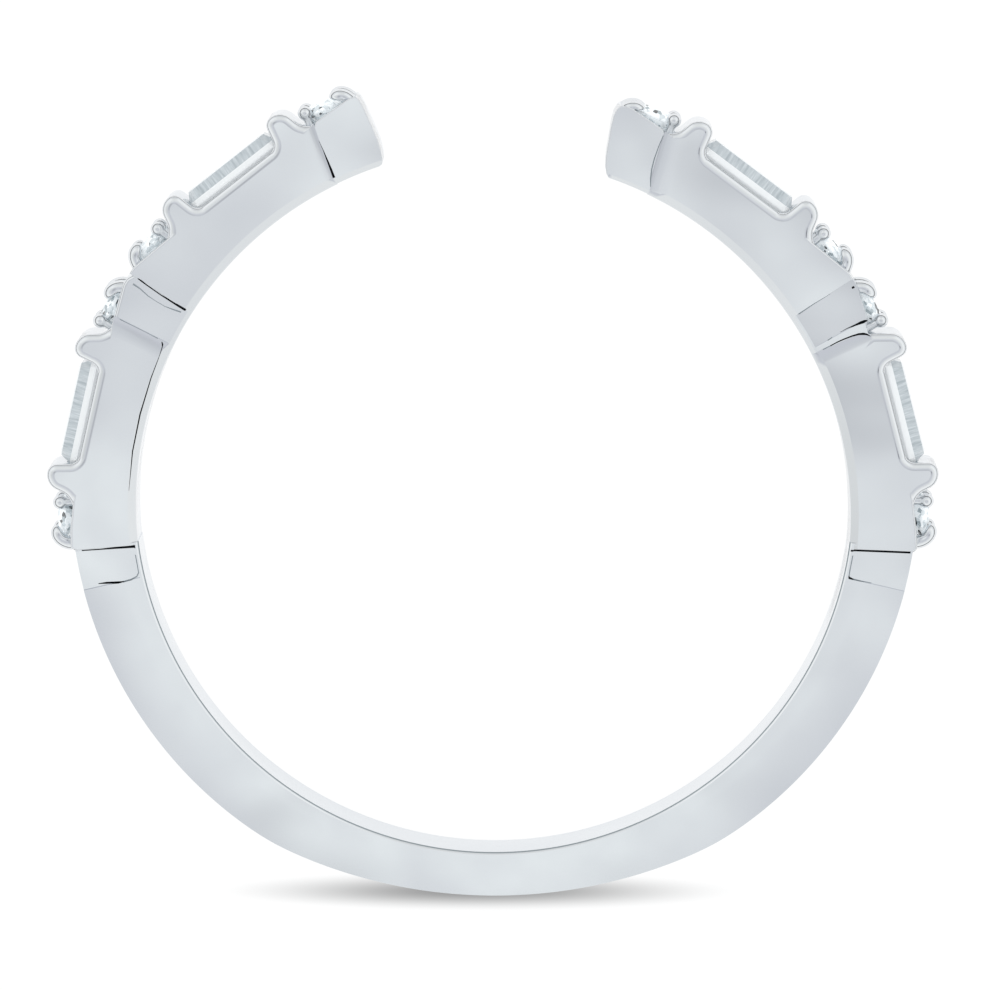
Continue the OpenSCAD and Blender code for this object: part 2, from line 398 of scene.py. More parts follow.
def edit_where(obj, kind, wanted):
    """Opens a piece for editing with only the edges or faces selected for which wanted is true."""
    for part in (*obj.data.vertices, *obj.data.edges, *obj.data.polygons):
        part.select = False
    for part in getattr(obj.data, kind):
        part.select = wanted(part)
    pick(obj)
    bpy.context.tool_settings.mesh_select_mode = (False, kind == "edges", kind == "polygons")
    bpy.ops.object.mode_set(mode="EDIT")


def leave():
    """Closes the piece that is open for editing. Its points, edges and faces are first put in order of
    their distance from one place, because the cuts depend on that order and Blender's own can vary."""
    bpy.ops.mesh.select_all(action="SELECT")
    bpy.context.scene.cursor.location = SORT_FROM
    bpy.ops.mesh.sort_elements(type="CURSOR_DISTANCE", elements={"VERT", "EDGE", "FACE"})
    bpy.context.scene.cursor.location = (0.0, 0.0, 0.0)
    bpy.ops.object.mode_set(mode="OBJECT")


def named(name):
    """Names the primitive that was just added."""
    obj = bpy.context.object
    obj.name = name
    obj.data.name = name
    return obj


def started(name):
    """A piece of metal that is still one point at the origin, open for editing."""
    deselect()
    bpy.ops.mesh.primitive_plane_add(size=1.0)
    obj = named(name)
    for material in METAL_AND_PAINTED_SHADES:
        obj.data.materials.append(material)
    edit(obj)
    bpy.ops.mesh.merge(type="CENTER")
    return obj


def draw_line(points):
    """Extrudes the open point through all the points of a line."""
    bpy.ops.transform.translate(value=points[0])
    for a, b in zip(points, points[1:]):
        bpy.ops.mesh.extrude_vertices_move(TRANSFORM_OT_translate={"value": b - a})


def pull(by):
    """Extrudes what is selected by this much."""
    bpy.ops.mesh.extrude_region_move(TRANSFORM_OT_translate={"value": by})


def pull_solid(by):
    """Fills the closed line that was just drawn, and pulls it out to a solid."""
    bpy.ops.mesh.select_all(action="SELECT")
    bpy.ops.mesh.edge_face_add()
    pull(by)
    bpy.ops.mesh.select_all(action="SELECT")
    bpy.ops.mesh.normals_make_consistent(inside=False)
    leave()


def pull_layer(obj, up, rise, size, centre):
    """Pulls a piece's top or bottom face out by this rise, and sizes it along X and Y about a
    centre."""
    edit_where(obj, "polygons", lambda face: face.normal.z * up > 0.99)
    pull((0, 0, up * rise))
    bpy.ops.transform.resize(value=(*size, 1.0), center_override=centre)
    leave()


def plate(name, outline, low, high):
    """A flat plate with this outline, from low to high."""
    obj = started(name)
    draw_line([Vector((p.x, p.y, low)) for p in outline])
    pull_solid((0.0, 0.0, high - low))
    return obj


def turned(name, profile, steps):
    """A piece turned about Z. Its profile is radius and height, closed or from the axis to the axis."""
    obj = started(name)
    draw_line([Vector((r, 0.0, z)) for r, z in profile])
    bpy.ops.mesh.select_all(action="SELECT")
    bpy.ops.mesh.spin(
        steps=steps, angle=math.tau, center=(0, 0, 0), axis=(0, 0, 1), use_auto_merge=True
    )
    bpy.ops.mesh.select_all(action="SELECT")
    bpy.ops.mesh.remove_doubles(threshold=1e-5)
    bpy.ops.mesh.normals_make_consistent(inside=False)
    leave()
    return obj


def settle(obj, matrix):
    """Moves a piece to its place and applies it to the mesh, so that the object stays at the origin."""
    pick(obj)
    obj.matrix_world = matrix
    bpy.ops.object.transform_apply(location=True, rotation=True, scale=True)
    if matrix.determinant() < 0:
        edit(obj)
        bpy.ops.mesh.normals_make_consistent(inside=False)
        leave()
    return obj


def side_place(side):
    """Mirrors a piece drawn for the right side if it is for the left one."""
    return Matrix.Scale(-1 if side == "left" else 1, 4, (1, 0, 0))


def arm_place(side):
    """Turns an arm's piece inwards about the place where the arm is bent, then puts it on its side."""
    pivot = Matrix.Translation(polar(BEND_AT[side], FINGER_R))
    bent = pivot @ Matrix.Rotation(math.radians(BEND[side]), 4, "Z") @ pivot.inverted()
    return side_place(side) @ bent


def edge_place(angle, height):
    """Puts a piece drawn at the origin on an arm's outer edge, top outwards and its length along
    the arm."""
    stand = Matrix(((0, 0, 1, 0), (1, 0, 0, 0), (0, 1, 0, 0), (0, 0, 0, 1)))
    outwards = Matrix.Translation((FINGER_R + height, 0, MID_Z))
    return Matrix.Rotation(math.radians(angle), 4, "Z") @ outwards @ stand


def combine(obj, other, operation):
    """Solders another piece to this one, or cuts it out of this one."""
    modifier = obj.modifiers.new(operation, "BOOLEAN")
    modifier.operation = operation
    modifier.object = other
    modifier.solver = "EXACT"
    pick(obj)
    bpy.ops.object.modifier_apply(modifier=modifier.name)
    bpy.data.objects.remove(other)
    edit(obj)
    bpy.ops.mesh.remove_doubles(threshold=MERGE)
    bpy.ops.mesh.select_all(action="SELECT")
    bpy.ops.mesh.dissolve_degenerate(threshold=MERGE / 2)
    leave()


def join(pieces):
    """Gathers pieces that don't touch one another into one object."""
    pick(pieces[0])
    for piece in pieces:
        piece.select_set(True)
    bpy.ops.object.join()
    return bpy.context.object


def round_upright_edges(obj, corners):
    """Rounds the upright edges at these places of a plate: each corner is its place and its radius."""
    for place, radius in corners:

        def is_corner(edge):
            a, b = (obj.data.vertices[i].co for i in edge.vertices)
            return abs(a.z - b.z) > MID_Z / 2 and (a.xy - place.xy).length < 0.01

        edit_where(obj, "edges", is_corner)
        bpy.ops.mesh.bevel(offset=radius, segments=6, affect="EDGES", clamp_overlap=False)
        leave()


def round_rims(obj, steps, shape=1.0):
    """Rounds a plate's front and back edges. Each step is a height above the finger hole and how
    wide the rounding is beyond it. shape is how deep it is for its width."""
    settle(obj, Matrix.Diagonal((1, 1, 1 / shape, 1)))
    low = min(v.co.z for v in obj.data.vertices)
    high = max(v.co.z for v in obj.data.vertices)
    widths = []
    for edge in obj.data.edges:
        a, b = (obj.data.vertices[i].co for i in edge.vertices)
        flat = abs(a.z - b.z) < 1e-4 and (abs(a.z - low) < 1e-4 or abs(a.z - high) < 1e-4)
        height = ((a + b) / 2).xy.length - FINGER_R
        width = next((width for least, width in steps if height > least), 0.0)
        widths.append(width if flat else 0.0)
    widest = max(widths)
    weights = obj.data.attributes.new("bevel_weight_edge", "FLOAT", "EDGE")
    for i, width in enumerate(widths):
        weights.data[i].value = width / widest
    modifier = obj.modifiers.new("rims", "BEVEL")
    modifier.width = widest
    modifier.segments = 5
    modifier.limit_method = "WEIGHT"
    modifier.use_clamp_overlap = False
    pick(obj)
    bpy.ops.object.modifier_apply(modifier=modifier.name)
    left = obj.data.attributes.get("bevel_weight_edge")
    if left:
        obj.data.attributes.remove(left)
    settle(obj, Matrix.Diagonal((1, 1, shape, 1)))


def arc(start, end, radius):
    """Points of an arc about the finger hole's axis."""
    count = max(1, round(abs(end - start) / ARC_STEP))
    return [polar(start + (end - start) * i / count, radius) for i in range(count + 1)]


def finger_hole(curve, last_step_shade=POLISHED):
    """Cuts the finger hole, with this soft curve along its edge in both faces. The last step of the
    curve may be coloured with a painted shade."""
    half = [(FINGER_R + curve[0][0] + LEAD_IN, BAND_W + RUN_OUT)]
    half += [(FINGER_R + d, BAND_W - drop) for d, drop in curve]
    other_half = [(r, BAND_W - z) for r, z in reversed(half)]
    profile = [(0.0, BAND_W + RUN_OUT)] + half + other_half + [(0.0, -RUN_OUT)]
    obj = turned("finger_hole", profile, HOLE_STEPS)
    last_step = FINGER_R + curve[-2][0] / 2
    for face in obj.data.polygons:
        radius = math.hypot(face.center.x, face.center.y)
        if abs(radius - last_step) < NEAR and abs(face.center.z - MID_Z) < MID_Z:
            face.material_index = last_step_shade
    return obj


def crown_cutter():
    """Cuts the soft crown of the shank's faces, near their outer edge."""
    cutters = []
    past_edge = SHANK_R + 0.4
    for face, up in ((BAND_W - SHANK_DROP, 1), (SHANK_DROP, -1)):
        profile = [(SHANK_R - SHANK_CROWN[0][0] - LEAD_IN, face + up * RUN_OUT)]
        profile += [(SHANK_R - d, face - up * drop) for d, drop in SHANK_CROWN]
        profile += [(past_edge, face - up * 0.08), (past_edge, face + up * RUN_OUT)]
        cutters.append(turned("crown_cutter", profile + profile[:1], HOLE_STEPS))
    return settle(join(cutters), Matrix.Translation((0, SHANK_LIFT, 0)))


def pad_pockets():
    """Cutters for the shallow pockets in both faces of the shank, just below the arms."""
    cutters = []
    foot = FINGER_R + PAD_FOOT
    past_edge = FINGER_R + 2.6
    past_start = ARM_START + 0.8
    outline = arc(past_start, PAD_START, foot) + arc(PAD_START, past_start, past_edge)
    for low, high in ((BAND_W - PANEL_DEPTH, BAND_W + 2 * RUN_OUT), (-2 * RUN_OUT, PANEL_DEPTH)):
        for side in SIDES:
            cutters.append(settle(plate("pocket", outline, low, high), side_place(side)))
    return join(cutters)


def shank():
    """The shank, from arm to arm through the bottom, with softly crowned faces and pockets below
    the arms."""
    start, end = 180 - ARM_START - OVERLAP, 360 + ARM_START + OVERLAP
    outer = []
    for i in range(SHANK_STEPS + 1):
        direction = polar(start + (end - start) * i / SHANK_STEPS, 1.0)
        # Where a ray from the centre leaves the outer circle, and the flatter circle at the bottom
        reach = []
        for centre_y, radius in ((SHANK_LIFT, SHANK_R), (BASE_SHIFT, BASE_R)):
            along = direction.y * centre_y
            reach.append(along + math.sqrt(along * along - centre_y * centre_y + radius * radius))
        half_apart = (reach[0] - reach[1]) / 2
        outer.append(direction * (sum(reach) / 2 - math.hypot(half_apart, BASE_BLEND)))
    inner = arc(end, start, FINGER_R - SPARE)
    obj = plate("shank", outer + inner, SHANK_DROP, BAND_W - SHANK_DROP)
    round_rims(obj, SHANK_RIM)
    # The last step of the shank's inner edge is coloured soft grey: a painted dark reflection along the
    # edge.
    for cutter in (crown_cutter(), finger_hole(SHANK_INNER_EDGE, PAINTED_SOFT_SHADE), pad_pockets()):
        combine(obj, cutter, "DIFFERENCE")
    return obj


def on_setting(middle, points):
    """The places of points that are an angle from a setting's middle and a height above the finger
    hole."""
    return [on_arm(middle + angle, height) for angle, height in points]


def setting_plate(middle, start, end):
    """One setting: its two bars and the notch between them, widely rounded, on the arm's full width."""
    soft = end[-1][0] > RIM_LOW[0]
    near = [(-angle, height, radius) for angle, height, radius in HALF_SETTING + SOFT_FOOT]
    far = HALF_SETTING + (SOFT_FOOT if soft else PLAIN_FOOT)
    corners = [(on_arm(middle + angle, height), radius) for angle, height, radius in near[::-1] + far]
    inwards, low = BARS_INSIDE
    inside = on_setting(middle, [(far[-1][0] - inwards, low), (near[-1][0] + inwards, low)])
    bars = plate("bars", [place for place, _ in corners] + inside, 0.0, BAND_W)
    round_upright_edges(bars, [corner for corner in corners if corner[1]])
    round_rims(bars, BAR_RIM, BAR_RIM_SHAPE)
    edge = start[1] + [(-angle, height) for angle, height in UNDER_BARS]
    edge += (UNDER_BARS if soft else UNDER_BARS[1:])[::-1] + end[::-1]
    inner = arc(middle + end[0][0], middle + start[0], FINGER_R - SPARE)
    obj = plate("setting", on_setting(middle, edge) + inner, 0.0, BAND_W)
    round_rims(obj, SETTING_RIM)
    combine(obj, bars, "UNION")
    return obj


def ledge(middle):
    """The narrow ledge between the end of a setting's face and the lowered panel."""
    return plate("ledge", on_setting(middle, LEDGE), LEDGE_DEPTH, BAND_W - LEDGE_DEPTH)


def crease(middle, line, depth, painted_shade):
    """Cutters for one crease in both faces of the arm. Their faces get the given painted shade colour."""
    points = [on_arm(middle + angle, height) for angle, height, _ in line]
    sides = ([], [])
    for i, (point, (_, _, width)) in enumerate(zip(points, line)):
        along = (points[min(i + 1, len(points) - 1)] - points[max(i - 1, 0)]).normalized()
        across = Vector((-along.y, along.x, 0.0)) * width / 2
        sides[0].append(point + across)
        sides[1].append(point - across)
    cutters = []
    for low, high in ((BAND_W - depth, BAND_W + RUN_OUT), (-RUN_OUT, depth)):
        cutter = plate("crease", sides[0] + sides[1][::-1], low, high)
        for face in cutter.data.polygons:
            face.material_index = painted_shade
        cutters.append(cutter)
    return cutters


def dark_creases():
    """Cutters for the creases, coloured nearly black as painted shade."""
    cutters = []
    for (side, spot), lines in CREASES.items():
        for line in lines:
            for cutter in crease(FIRST_SETTING + spot * STEP[side], line, CREASE_DEPTH, PAINTED_CREASE_SHADE):
                cutters.append(settle(cutter, arm_place(side)))
    for side, lines in PAD_CREASES.items():
        for line in lines:
            for cutter in crease(0.0, line, CREASE_DEPTH, PAINTED_CREASE_SHADE):
                cutters.append(settle(cutter, side_place(side)))
    return join(cutters)


def soft_creases():
    """Cutters for the shallow lines, coloured soft grey as painted shade."""
    cutters = []
    for (side, spot), lines in SOFT_CREASES.items():
        for depth, line in lines:
            for cutter in crease(FIRST_SETTING + spot * STEP[side], line, depth, PAINTED_SOFT_SHADE):
                cutters.append(settle(cutter, arm_place(side)))
    for side, lines in SOFT_PAD_CREASES.items():
        for line in lines:
            for cutter in crease(0.0, line, SOFT_PAD_CREASE_DEPTH, PAINTED_SOFT_SHADE):
                cutters.append(settle(cutter, side_place(side)))
    return join(cutters)


def soft_end(inner, outer, curve):
    """Cuts a soft curve along a line across both faces of an arm, from its inner to its outer end.
    The curve is distance from the line and depth there."""
    along = outer - inner
    away = Vector((along.y, -along.x, 0.0)).normalized()
    past_line = -0.15
    cutters = []
    for face, up in ((BAND_W, 1), (0.0, -1)):
        obj = started("soft_end")
        profile = [(curve[0][0] + 0.02, -RUN_OUT)] + curve
        profile += [(past_line, curve[-1][1]), (past_line, -RUN_OUT)]
        draw_line([inner + away * d + Vector((0, 0, face - up * drop)) for d, drop in profile])
        pull_solid(along)
        cutters.append(obj)
    return join(cutters)


def panel_plate(middle, lean):
    """The lowered panel between the two settings of an arm. It may lean down towards its outer edge."""
    end = SETTING_HALF + OVERLAP
    outline = on_setting(middle, PANEL_EDGE + [(SETTING_HALF - 0.3, RIM_HIGH[1]), (end, 1.65)])
    inner = arc(middle + end, middle + PANEL_EDGE[0][0], FINGER_R - SPARE)
    obj = plate("panel", outline + inner, PANEL_DEPTH, BAND_W - PANEL_DEPTH)
    round_rims(obj, PANEL_RIM)
    if lean:
        curve = [(1.6, PANEL_DEPTH), (0.0, PANEL_DEPTH + lean)]
        line = on_setting(middle, [(SETTING_HALF + 2.0, 1.8), (10.0, 1.8)])
        combine(obj, soft_end(*line, curve), "DIFFERENCE")
    return obj


def rail(middle):
    """The thin strip of nearly full height that runs on along the finger hole beside a lowered
    panel."""
    start, end = middle + RAIL_START, middle + SETTING_HALF + OVERLAP
    outline = arc(start, end, FINGER_R + RAIL_W) + arc(end, start, FINGER_R - SPARE)
    return plate("rail", outline, RAIL_DEPTH, BAND_W - RAIL_DEPTH)


def end_block(middle, side):
    """The block at the open end of an arm."""
    end = middle + SETTING_HALF
    outline = on_setting(middle, BLOCK_EDGE) + on_setting(end, ARM_TIP[side])
    inner = arc(end + ARM_TIP[side][-1][0] - 0.5, middle + BLOCK_EDGE[0][0], FINGER_R + 0.02)
    obj = plate("end", outline + inner, BLOCK_DEPTH[side], BAND_W - BLOCK_DEPTH[side])
    round_rims(obj, BLOCK_RIM)
    return obj


def claw(angle, side, z, apart, lower):
    """A claw that leans over a round stone: drawn from the side, pulled out to its width, then worn
    round. It may stand further from the stone's axis and be lower than the others."""
    foot = CLAW[0][1]
    squeeze = 1 - lower / (CLAW_TOP - foot)
    outward = polar(angle, 1.0)
    along = polar(angle + 90, 1.0)
    outline = [
        outward * (FINGER_R + foot + squeeze * (h - foot)) + along * side * (d + apart) for d, h in CLAW
    ]
    centre = sum(outline, Vector()) / len(outline)
    obj = plate("claw", outline, z - CLAW_CORE / 2, z + CLAW_CORE / 2)
    for up in (1, -1):
        for share, size in CLAW_LAYERS:
            rise = share * (CLAW_W - CLAW_CORE) / 2
            pull_layer(obj, up, rise, (size, size), (centre.x, centre.y, z))
    modifier = obj.modifiers.new("worn round", "SUBSURF")
    modifier.levels = 2
    modifier.render_levels = 2
    pick(obj)
    bpy.ops.object.modifier_apply(modifier=modifier.name)
    return obj


def bead(angle, side, z):
    """A small upright prong: a ball of metal on a thinner stem."""
    turns = [math.radians(a) for a in range(-45, 90, 15)]
    stem = [(0.0, BEAD_FOOT), (BEAD_STEM_R, BEAD_FOOT), (BEAD_STEM_R, BEAD_NECK)]
    ball = [(BEAD_R * math.cos(a), BEAD_R * math.sin(a)) for a in turns]
    obj = turned("bead", stem + ball + [(0.0, BEAD_R)], BEAD_STEPS)
    spot = Matrix.Translation((FINGER_R + BEAD_TOP - BEAD_R, -side * BEAD_OUT, z))
    place = Matrix.Rotation(math.radians(angle), 4, "Z") @ spot
    return settle(obj, place @ Matrix.Rotation(math.radians(90), 4, "Y"))


def round_seat():
    """Cuts the seat of a round stone: the stone's own form, with a little play all round."""
    r = ROUND_R + SEAT_GAP
    low = ROUND_GIRDLE + ROUND_PAVILION + SEAT_GAP
    high = ROUND_CROWN + SEAT_GAP
    profile = [
        (0.0, -low), (r, -ROUND_GIRDLE - SEAT_GAP / 2), (r, SEAT_GAP / 2),
        (ROUND_TABLE_R + SEAT_GAP, high), (0.0, high),
    ]
    return turned("round_seat", profile, SEAT_STEPS)


def baguette(name, play):
    """A step-cut stone with cut corners: a thin bar whose top and bottom are drawn in step by step."""
    deselect()
    bpy.ops.mesh.primitive_cube_add(size=1.0)
    obj = named(name)
    full = (BAGUETTE_L + 2 * play, BAGUETTE_W + 2 * play)
    thin = Matrix.Diagonal((*full, BAGUETTE_GIRDLE, 1))
    settle(obj, Matrix.Translation((0, 0, -BAGUETTE_GIRDLE / 2)) @ thin)

    def upright(edge):
        a, b = (obj.data.vertices[i].co for i in edge.vertices)
        return abs(a.z - b.z) > BAGUETTE_GIRDLE / 2

    edit_where(obj, "edges", upright)
    bpy.ops.mesh.bevel(offset=BAGUETTE_CORNER, segments=1, affect="EDGES", clamp_overlap=False)
    leave()
    for steps, up in ((CROWN_STEPS, 1), (PAVILION_STEPS, -1)):
        length, width = full
        for rise, draw_in in steps:
            size = (1 - 2 * draw_in / length, 1 - 2 * draw_in / width)
            pull_layer(obj, up, rise, size, (0, 0, 0))
            length, width = length - 2 * draw_in, width - 2 * draw_in
    # The place in the uncut stone, which the stone's material reads
    places = obj.data.attributes.new("cut", "FLOAT_VECTOR", "POINT")
    for vertex, place in zip(obj.data.vertices, places.data):
        place.vector = vertex.co
    return obj


def scene_node(tree, kind, settings=None, links=None):
    """Adds a node with its settings, and links it to the outputs that links names for its inputs."""
    node = tree.nodes.new(kind)
    for key, value in (settings or {}).items():
        if isinstance(key, int) or key in node.inputs:
            node.inputs[key].default_value = value
        else:
            setattr(node, key, value)
    for key, output in (links or {}).items():
        tree.links.new(output, node.inputs[key])
    return node


def colour(code):
    """sRGB hex to the linear colour that shaders take."""
    parts = [int(code[i : i + 2], 16) / 255 for i in (1, 3, 5)]
    return tuple(p / 12.92 if p <= 0.04045 else ((p + 0.055) / 1.055) ** 2.4 for p in parts) + (1.0,)


def new_material(name):
    """An empty material and its nodes."""
    material = bpy.data.materials.new(name)
    material.use_nodes = True
    material.node_tree.nodes.clear()
    return material, material.node_tree


# What hand polishing leaves: swells, how wide and how deep, hazy marks, how wide, and how rough it
# is between them and in them
SWELL = 4.17 * MM
SWELL_DEPTH = 0.22 * MM
HAZE = 0.67 * MM
HAZE_ROUGHNESS = (0.05, 0.15)


def polished_white_gold():
    """White gold, cast, polished by hand and rhodium plated: a cool, nearly flat mirror that swells
    a little."""
    material, tree = new_material("white_gold_cast_and_polished")
    place = scene_node(tree, "ShaderNodeTexCoord")
    swell = scene_node(
        tree, "ShaderNodeTexNoise", {"Scale": 1 / SWELL, "Detail": 0.5}, {"Vector": place.outputs["Object"]}
    )
    bump = scene_node(
        tree, "ShaderNodeBump", {"Strength": 1.0, "Distance": SWELL_DEPTH}, {"Height": swell.outputs["Fac"]}
    )
    haze = scene_node(
        tree, "ShaderNodeTexNoise", {"Scale": 1 / HAZE, "Detail": 4.0}, {"Vector": place.outputs["Object"]}
    )
    least, most = HAZE_ROUGHNESS
    rough = scene_node(
        tree, "ShaderNodeMapRange", {"To Min": least, "To Max": most}, {"Value": haze.outputs["Fac"]}
    )
    shader = scene_node(
        tree,
        "ShaderNodeBsdfPrincipled",
        {"Base Color": colour("#e6e8ea"), "Metallic": 1.0, "Specular Tint": colour("#f6f8fa")},
        {"Normal": bump.outputs["Normal"], "Roughness": rough.outputs["Result"]},
    )
    scene_node(tree, "ShaderNodeOutputMaterial", links={"Surface": shader.outputs["BSDF"]})
    return material


def grainy_metal(name, code, grain, least, most):
    """Metal with a fine grain: its colour, the size of its grain, and between what values its
    roughness varies."""
    material, tree = new_material(name)
    place = scene_node(tree, "ShaderNodeTexCoord")
    grains = scene_node(
        tree, "ShaderNodeTexNoise", {"Scale": 1 / grain, "Detail": 2.0}, {"Vector": place.outputs["Object"]}
    )
    bump = scene_node(
        tree, "ShaderNodeBump", {"Strength": 0.5, "Distance": grain / 8}, {"Height": grains.outputs["Fac"]}
    )
    rough = scene_node(
        tree, "ShaderNodeMapRange", {"To Min": least, "To Max": most}, {"Value": grains.outputs["Fac"]}
    )
    shader = scene_node(
        tree,
        "ShaderNodeBsdfPrincipled",
        {"Base Color": colour(code), "Metallic": 1.0},
        {"Normal": bump.outputs["Normal"], "Roughness": rough.outputs["Result"]},
    )
    scene_node(tree, "ShaderNodeOutputMaterial", links={"Surface": shader.outputs["BSDF"]})
    return material


# What both kinds of diamond have in common: a sharp mirror that bends light strongly and lets a
# little through
DIAMOND = {"Roughness": 0.0, "IOR": 2.42, "Transmission Weight": 0.1}
# How strongly the stones glow: painted light, standing in for the light the facets throw back from
# inside the stone
ROUND_PAINTED_GLOW = 0.32
STEP_PAINTED_GLOW = 0.14

# The mosaic of painted facet reflections on a round stone: the size of its patches, and from what
# share of them on each colour is
PATCH_SIZE = 0.105 * MM
PAINTED_SPARKS = [(0.0, "#23292c"), (0.07, "#97a2a7"), (0.18, "#c9d1d5"), (0.4, "#eef2f4")]

# The painted reflections on a step-cut stone, bars across it: how many to the millimetre, their two
# greys, and the facet they are painted on, as the height of its middle above the girdle and half its height
BARS_PER_MM = 14.0
PAINTED_BAR_GREYS = ("#9faab0", "#d3dade")
PAINTED_BAR_FACET = (0.235, 0.12)
# Sockets of a Mix node that take and give colours
MIX_A, MIX_B, MIXED = 6, 7, 2


def round_cut_diamond():
    """Small round diamonds: the reflections of their back facets are painted as a mosaic of white and
    pale grey with a few dark sparks, which the stone also gives off as painted glow."""
    material, tree = new_material("diamond_round_cut_and_polished")
    place = scene_node(tree, "ShaderNodeTexCoord")
    sparks = scene_node(
        tree, "ShaderNodeTexVoronoi", {"Scale": 1 / PATCH_SIZE}, {"Vector": place.outputs["Object"]}
    )
    parts = scene_node(tree, "ShaderNodeSeparateXYZ", links={"Vector": sparks.outputs["Color"]})
    mosaic = scene_node(tree, "ShaderNodeValToRGB", links={"Fac": parts.outputs["X"]})
    mosaic.color_ramp.interpolation = "CONSTANT"
    for _ in PAINTED_SPARKS[2:]:
        mosaic.color_ramp.elements.new(0.5)
    for element, (share, code) in zip(mosaic.color_ramp.elements, PAINTED_SPARKS):
        element.position = share
        element.color = colour(code)
    # The mosaic is also given off as glow: painted light
    shader = scene_node(
        tree,
        "ShaderNodeBsdfPrincipled",
        {**DIAMOND, "Emission Strength": ROUND_PAINTED_GLOW},
        {"Base Color": mosaic.outputs["Color"], "Emission Color": mosaic.outputs["Color"]},
    )
    scene_node(tree, "ShaderNodeOutputMaterial", links={"Surface": shader.outputs["BSDF"]})
    return material


def step_cut_diamond():
    """Step-cut diamonds with painted reflections: fine pale grey bars across the long upper facet, white
    on the other facets, and the same colours given off as painted glow."""
    material, tree = new_material("diamond_step_cut_and_polished")
    place = scene_node(tree, "ShaderNodeAttribute", {"attribute_name": "cut"})
    parts = scene_node(tree, "ShaderNodeSeparateXYZ", links={"Vector": place.outputs["Vector"]})
    stretched = scene_node(
        tree,
        "ShaderNodeVectorMath",
        {"operation": "MULTIPLY", 1: (BARS_PER_MM, 1.0, 1.0)},
        {0: place.outputs["Vector"]},
    )
    bars = scene_node(
        tree,
        "ShaderNodeTexNoise",
        {"Scale": 1.0, "Detail": 4.0, "Roughness": 0.7},
        {"Vector": stretched.outputs["Vector"]},
    )
    tone = scene_node(
        tree, "ShaderNodeMapRange", {"From Min": 0.35, "From Max": 0.65}, {"Value": bars.outputs["Fac"]}
    )
    dark, pale = PAINTED_BAR_GREYS
    grey = scene_node(
        tree,
        "ShaderNodeMix",
        {"data_type": "RGBA", MIX_A: colour(dark), MIX_B: colour(pale)},
        {0: tone.outputs["Result"]},
    )
    height, half = PAINTED_BAR_FACET
    on_facet = scene_node(
        tree, "ShaderNodeMath", {"operation": "COMPARE", 1: height, 2: half}, {0: parts.outputs["Z"]}
    )
    # Painted reflection: white on the other facets, the grey bars on the long upper facet
    base = scene_node(
        tree,
        "ShaderNodeMix",
        {"data_type": "RGBA", MIX_A: colour("#f8fafb")},
        {0: on_facet.outputs["Value"], MIX_B: grey.outputs[MIXED]},
    )
    # The painted colours are also given off as glow: painted light
    shader = scene_node(
        tree,
        "ShaderNodeBsdfPrincipled",
        {**DIAMOND, "Emission Strength": STEP_PAINTED_GLOW},
        {"Base Color": base.outputs[MIXED], "Emission Color": base.outputs[MIXED]},
    )
    scene_node(tree, "ShaderNodeOutputMaterial", links={"Surface": shader.outputs["BSDF"]})
    return material


# Polished all over. In the creases the metal is coloured nearly black and grainy as painted shade:
# nearly black lines. In the shallow lines it is coloured soft grey as painted shade, and along the
# shank's inner edge as a painted dark reflection: soft grey lines
METAL_AND_PAINTED_SHADES = (
    polished_white_gold(),
    # Nearly black: painted shade in the creases
    grainy_metal("white_gold_painted_crease_shade", "#15181b", 0.03 * MM, 0.28, 0.42),
    # Soft grey: painted shade in the shallow lines, and a painted dark reflection along the shank's inner
    # edge
    grainy_metal("white_gold_painted_soft_shade", "#a4acb0", 0.05 * MM, 0.24, 0.36),
)
ROUND_DIAMOND = round_cut_diamond()
STEP_DIAMOND = step_cut_diamond()


def arm(side):
    """One arm with its bend: two settings, the lowered panel between them, the end block, prongs
    and seats."""
    middles = (FIRST_SETTING, FIRST_SETTING + STEP[side])
    settings = [
        setting_plate(middle, start, end)
        for middle, start, end in zip(middles, FACE_START[side], FACE_END[side])
    ]
    made = settings[0]
    pieces = [ledge(middles[0])] if side == "right" else []
    pieces += [panel_plate(middles[0], PANEL_LEAN[side]), rail(middles[0])]
    pieces += [settings[1], end_block(middles[1], side)]
    for setting, middle, (low, high, curve) in zip(settings, middles, SOFT_END[side]):
        line = on_setting(middle, zip((low, high), SOFT_END_HEIGHTS))
        combine(setting, soft_end(*line, curve), "DIFFERENCE")
    for piece in pieces:
        combine(made, piece, "UNION")
    combine(made, finger_hole(ARM_INNER_EDGE), "DIFFERENCE")
    prongs = []
    seats = []
    for middle in middles:
        place = edge_place(middle, BAGUETTE_TABLE - BAGUETTE_CROWN)
        seats.append(settle(baguette("seat", SEAT_GAP), place))
        for turn in (-1, 1):
            angle = middle + turn * ROUND_AT
            at_open_end = middle == middles[1] and turn == 1
            apart, lower = END_CLAW[side] if at_open_end else (0.0, 0.0)
            seats.append(settle(round_seat(), edge_place(angle, ROUND_TABLE - ROUND_CROWN)))
            for z in (MID_Z - PRONG_SIDE, MID_Z + PRONG_SIDE):
                prongs.append(claw(angle, turn, z, apart, lower))
                prongs.append(bead(angle, turn, z))
    combine(made, join(prongs), "UNION")
    combine(made, join(seats), "DIFFERENCE")
    return settle(made, arm_place(side))


def build_band():
    """The whole band in millimetres: the shank, the two arms and the creases."""
    band = shank()
    for side in SIDES:
        combine(band, arm(side), "UNION")
    combine(band, soft_creases(), "DIFFERENCE")
    combine(band, dark_creases(), "DIFFERENCE")
    band.name = "polished_band"
    band.data.name = "polished_band"
    return band


